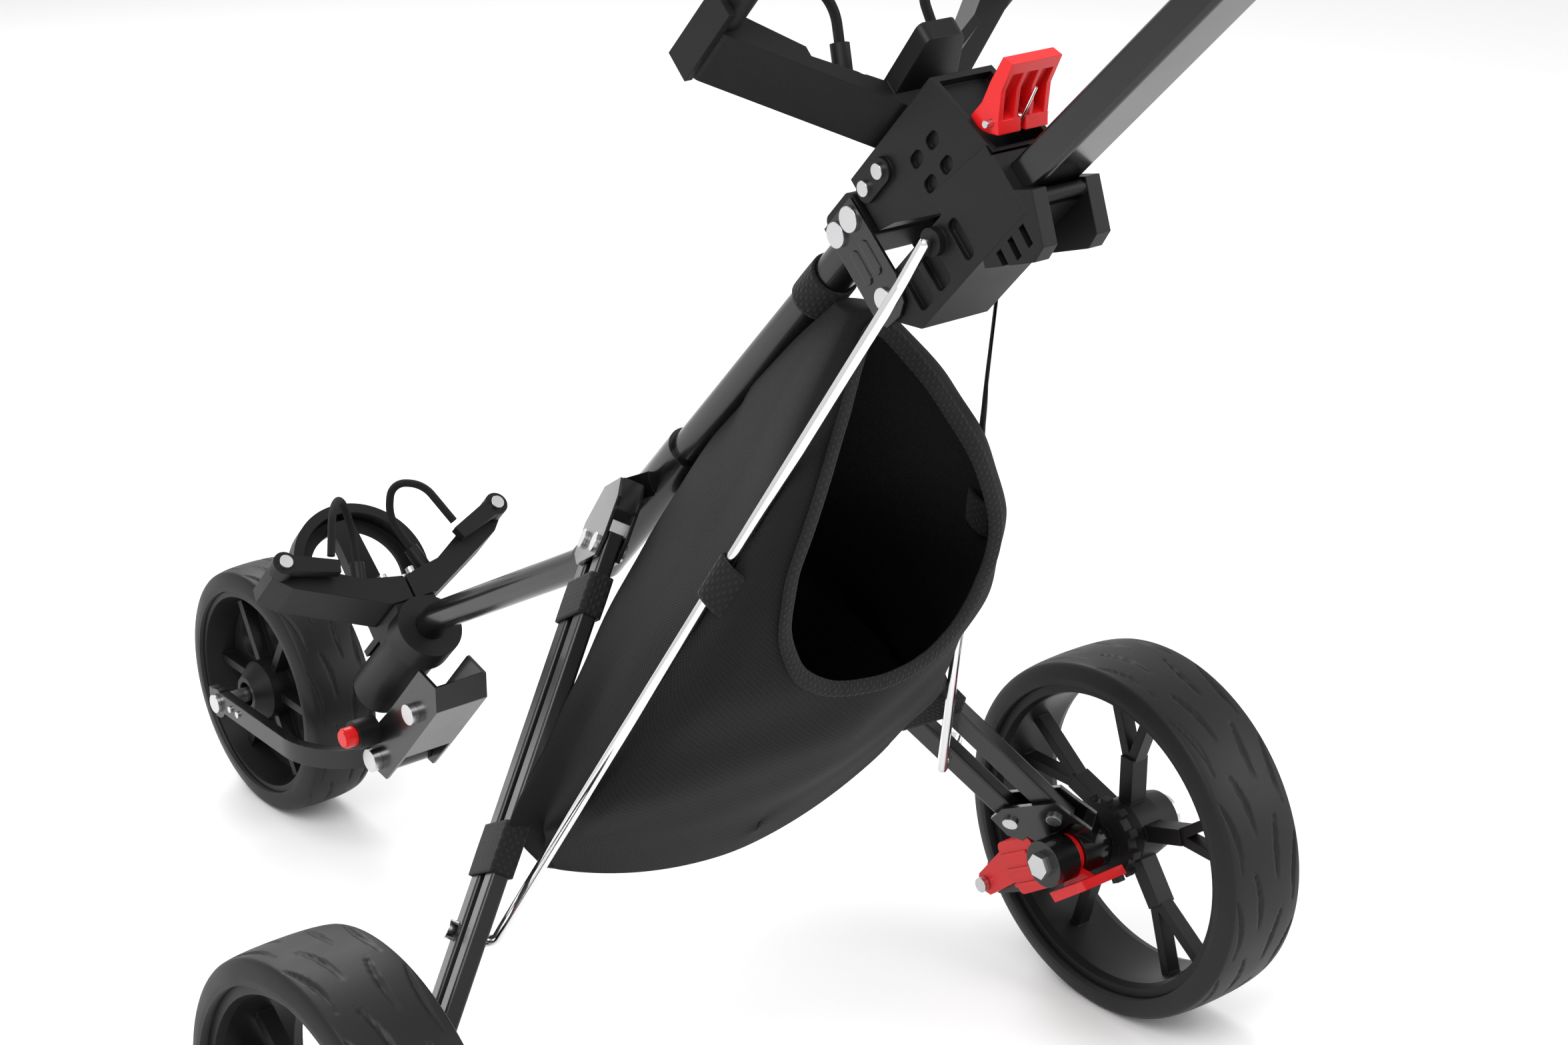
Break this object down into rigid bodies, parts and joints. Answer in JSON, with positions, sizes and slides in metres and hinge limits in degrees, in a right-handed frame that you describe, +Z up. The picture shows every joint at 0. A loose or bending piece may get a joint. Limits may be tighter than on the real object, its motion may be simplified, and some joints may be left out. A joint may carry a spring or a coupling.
{
  "type": "golf push cart with storage pouch",
  "caption": "Folding golf push cart: a sloping spine with fold-out rear wheels, a forked front wheel, bag cradles, a long handle and a fabric storage pouch.",
  "frame": {"origin": "bottom centre of the whole part's bounding box, on the ground", "axes": "+X to the cart's right, +Y forward to the front wheel, +Z up"},
  "size_m": [0.714, 1.2857, 1.0349],
  "materials": {
    "black_paint": "gloss black paint",
    "frame_bar": "satin black paint",
    "black_plastic": "fine-grained moulded black plastic",
    "rim_plastic": "moulded black plastic",
    "chrome": "bright chrome plate",
    "steel": "zinc-plated steel",
    "tyre": "moulded black tyre rubber",
    "soft_rubber": "black rubber",
    "red_plastic": "red moulded plastic",
    "pouch_fabric": "black woven fabric",
    "webbing": "black webbing"
  },
  "bodies": {
    "frame": {"main_tube": "black_paint", "front_tube": "black_paint", "leg_bracket": "black_paint", "frame_rivets": "steel", "hinge_housing": "black_plastic", "hinge_clamp": "black_plastic", "hinge_plates": "black_paint", "hinge_pins": "steel", "bag_cradle": "black_plastic", "cradle_rollers": "soft_rubber", "cradle_cords": "soft_rubber", "cord_hooks": "black_plastic", "lower_sleeve": "black_plastic", "bag_jaws": "black_plastic", "bag_base_rest": "black_plastic", "lower_cords": "soft_rubber", "jaw_fasteners": "steel", "fork_bracket": "black_paint", "bracket_bolts": "steel", "lock_barrel": "black_plastic", "tube_strap": "webbing", "storage_pouch": "pouch_fabric"},
    "handle": {"hinge_arm": "black_plastic", "handle_tube": "black_paint", "handle_head": "black_plastic", "handle_grip": "soft_rubber", "side_pads": "black_plastic"},
    "release_lever": {"release_lever": "red_plastic", "lever_spring": "chrome"},
    "left_cord_lever": {"left_cord_lever": "black_plastic"},
    "right_cord_lever": {"right_cord_lever": "black_plastic"},
    "lock_button": {"lock_button": "red_plastic"},
    "fork": {"fork_arms": "black_paint", "front_axle_and_rivets": "steel"},
    "front_wheel": {"front_tyre": "tyre", "front_rim": "rim_plastic"},
    "left_rear_bar": {"left_rear_leg_bar": "frame_bar", "left_leg_straps": "webbing"},
    "left_front_bar": {"left_front_leg_bar": "frame_bar"},
    "left_rod": {"left_stay_rod": "chrome", "left_rod_strap": "webbing"},
    "left_carrier": {"left_wheel_carrier": "black_paint", "left_carrier_bolts": "steel", "left_rear_axle": "steel"},
    "left_wheel": {"left_rear_tyre": "tyre", "left_rear_rim": "rim_plastic"},
    "left_brake": {"left_brake_pedal": "red_plastic"},
    "left_tab": {"left_release_tab": "red_plastic"},
    "right_rear_bar": {"right_rear_leg_bar": "frame_bar", "right_leg_straps": "webbing"},
    "right_front_bar": {"right_front_leg_bar": "frame_bar"},
    "right_rod": {"right_stay_rod": "chrome", "right_rod_strap": "webbing"},
    "right_carrier": {"right_wheel_carrier": "black_paint", "right_carrier_bolts": "steel", "right_rear_axle": "steel"},
    "right_wheel": {"right_rear_tyre": "tyre", "right_rear_rim": "rim_plastic"},
    "right_brake": {"right_brake_pedal": "red_plastic"},
    "right_tab": {"right_release_tab": "red_plastic"}
  },
  "joints": [
    {"name": "handle_fold", "type": "hinge", "parent": "frame", "child": "handle", "pos_m": [0, -0.23104, 0.63545], "axis": [1, 0, 0], "range_deg": [0, 180], "deforming": ["storage_pouch"]},
    {"name": "release_lever_press", "type": "hinge", "parent": "frame", "child": "release_lever", "pos_m": [0, -0.30351, 0.74835], "axis": [1, 0, 0], "range_deg": [0, 25], "stiffness_Nm_per_rad": 0.3},
    {"name": "fork_fold", "type": "hinge", "parent": "frame", "child": "fork", "pos_m": [0, 0.35985, 0.113], "axis": [1, 0, 0], "range_deg": [-95, 0]},
    {"name": "front_wheel_spin", "type": "hinge", "parent": "fork", "child": "front_wheel", "pos_m": [0, 0.54135, 0.1015], "axis": [1, 0, 0], "continuous": true},
    {"name": "fork_lock_press", "type": "slide", "parent": "frame", "child": "lock_button", "axis": [1, 0, 0], "range_m": [0, 0.006], "stiffness_N_per_m": 400},
    {"name": "left_cord_lever_swing", "type": "hinge", "parent": "frame", "child": "left_cord_lever", "pos_m": [-0.091, 0.35749, 0.2925], "axis": [0, 0.6947, -0.7193], "range_deg": [0, 75]},
    {"name": "right_cord_lever_swing", "type": "hinge", "parent": "frame", "child": "right_cord_lever", "pos_m": [0.091, 0.35749, 0.2925], "axis": [0, -0.6947, 0.7193], "range_deg": [0, 75]},
    {"name": "left_rear_bar_fold", "type": "hinge", "parent": "frame", "child": "left_rear_bar", "pos_m": [-0.053, 0.00135, 0.416], "axis": [0.7635, -0.4724, -0.4405], "range_deg": [0, 69.49], "deforming": ["left_leg_straps"]},
    {"name": "left_front_bar_fold", "type": "hinge", "parent": "frame", "child": "left_front_bar", "pos_m": [-0.04047, 0.03199, 0.40486], "axis": [0.7635, -0.4724, -0.4405], "range_deg": [0, 69.49]},
    {"name": "left_carrier_pivot", "type": "hinge", "parent": "left_rear_bar", "child": "left_carrier", "pos_m": [-0.25565, -0.09379, 0.16679], "axis": [0.7635, -0.4724, -0.4405], "range_deg": [-69.49, 0]},
    {"name": "left_rod_pivot", "type": "hinge", "parent": "left_front_bar", "child": "left_rod", "pos_m": [-0.19895, -0.04242, 0.20996], "axis": [0.7635, -0.4724, -0.4405], "range_deg": [-43.04, 0]},
    {"name": "left_wheel_spin", "type": "hinge", "parent": "left_carrier", "child": "left_wheel", "pos_m": [-0.321, -0.10215, 0.1335], "axis": [1, 0, 0], "continuous": true},
    {"name": "left_brake_press", "type": "hinge", "parent": "left_carrier", "child": "left_brake", "pos_m": [-0.26, -0.02215, 0.076], "axis": [1, 0, 0], "range_deg": [0, 12]},
    {"name": "left_wheel_release", "type": "hinge", "parent": "left_carrier", "child": "left_tab", "pos_m": [-0.25, -0.10215, 0.1335], "axis": [1, 0, 0], "range_deg": [-20, 0], "stiffness_Nm_per_rad": 0.3},
    {"name": "right_rear_bar_fold", "type": "hinge", "parent": "frame", "child": "right_rear_bar", "pos_m": [0.053, 0.00135, 0.416], "axis": [0.7635, 0.4724, 0.4405], "range_deg": [0, 69.49], "deforming": ["right_leg_straps"]},
    {"name": "right_front_bar_fold", "type": "hinge", "parent": "frame", "child": "right_front_bar", "pos_m": [0.04047, 0.03199, 0.40486], "axis": [0.7635, 0.4724, 0.4405], "range_deg": [0, 69.49]},
    {"name": "right_carrier_pivot", "type": "hinge", "parent": "right_rear_bar", "child": "right_carrier", "pos_m": [0.25565, -0.09379, 0.16679], "axis": [0.7635, 0.4724, 0.4405], "range_deg": [-69.49, 0]},
    {"name": "right_rod_pivot", "type": "hinge", "parent": "right_front_bar", "child": "right_rod", "pos_m": [0.19895, -0.04242, 0.20996], "axis": [0.7635, 0.4724, 0.4405], "range_deg": [-43.04, 0]},
    {"name": "right_wheel_spin", "type": "hinge", "parent": "right_carrier", "child": "right_wheel", "pos_m": [0.321, -0.10215, 0.1335], "axis": [1, 0, 0], "continuous": true},
    {"name": "right_brake_press", "type": "hinge", "parent": "right_carrier", "child": "right_brake", "pos_m": [0.26, -0.02215, 0.076], "axis": [1, 0, 0], "range_deg": [0, 12]},
    {"name": "right_wheel_release", "type": "hinge", "parent": "right_carrier", "child": "right_tab", "pos_m": [0.25, -0.10215, 0.1335], "axis": [1, 0, 0], "range_deg": [-20, 0], "stiffness_Nm_per_rad": 0.3}
  ],
  "couplings": [
    {"joint": "left_rear_bar_fold", "follows": "handle_fold", "ratio": 0.38605},
    {"joint": "left_front_bar_fold", "follows": "handle_fold", "ratio": 0.38605},
    {"joint": "left_carrier_pivot", "follows": "handle_fold", "ratio": -0.38605},
    {"joint": "left_rod_pivot", "follows": "handle_fold", "ratio": -0.23911},
    {"joint": "right_rear_bar_fold", "follows": "handle_fold", "ratio": 0.38605},
    {"joint": "right_front_bar_fold", "follows": "handle_fold", "ratio": 0.38605},
    {"joint": "right_carrier_pivot", "follows": "handle_fold", "ratio": -0.38605},
    {"joint": "right_rod_pivot", "follows": "handle_fold", "ratio": -0.23911}
  ]
}
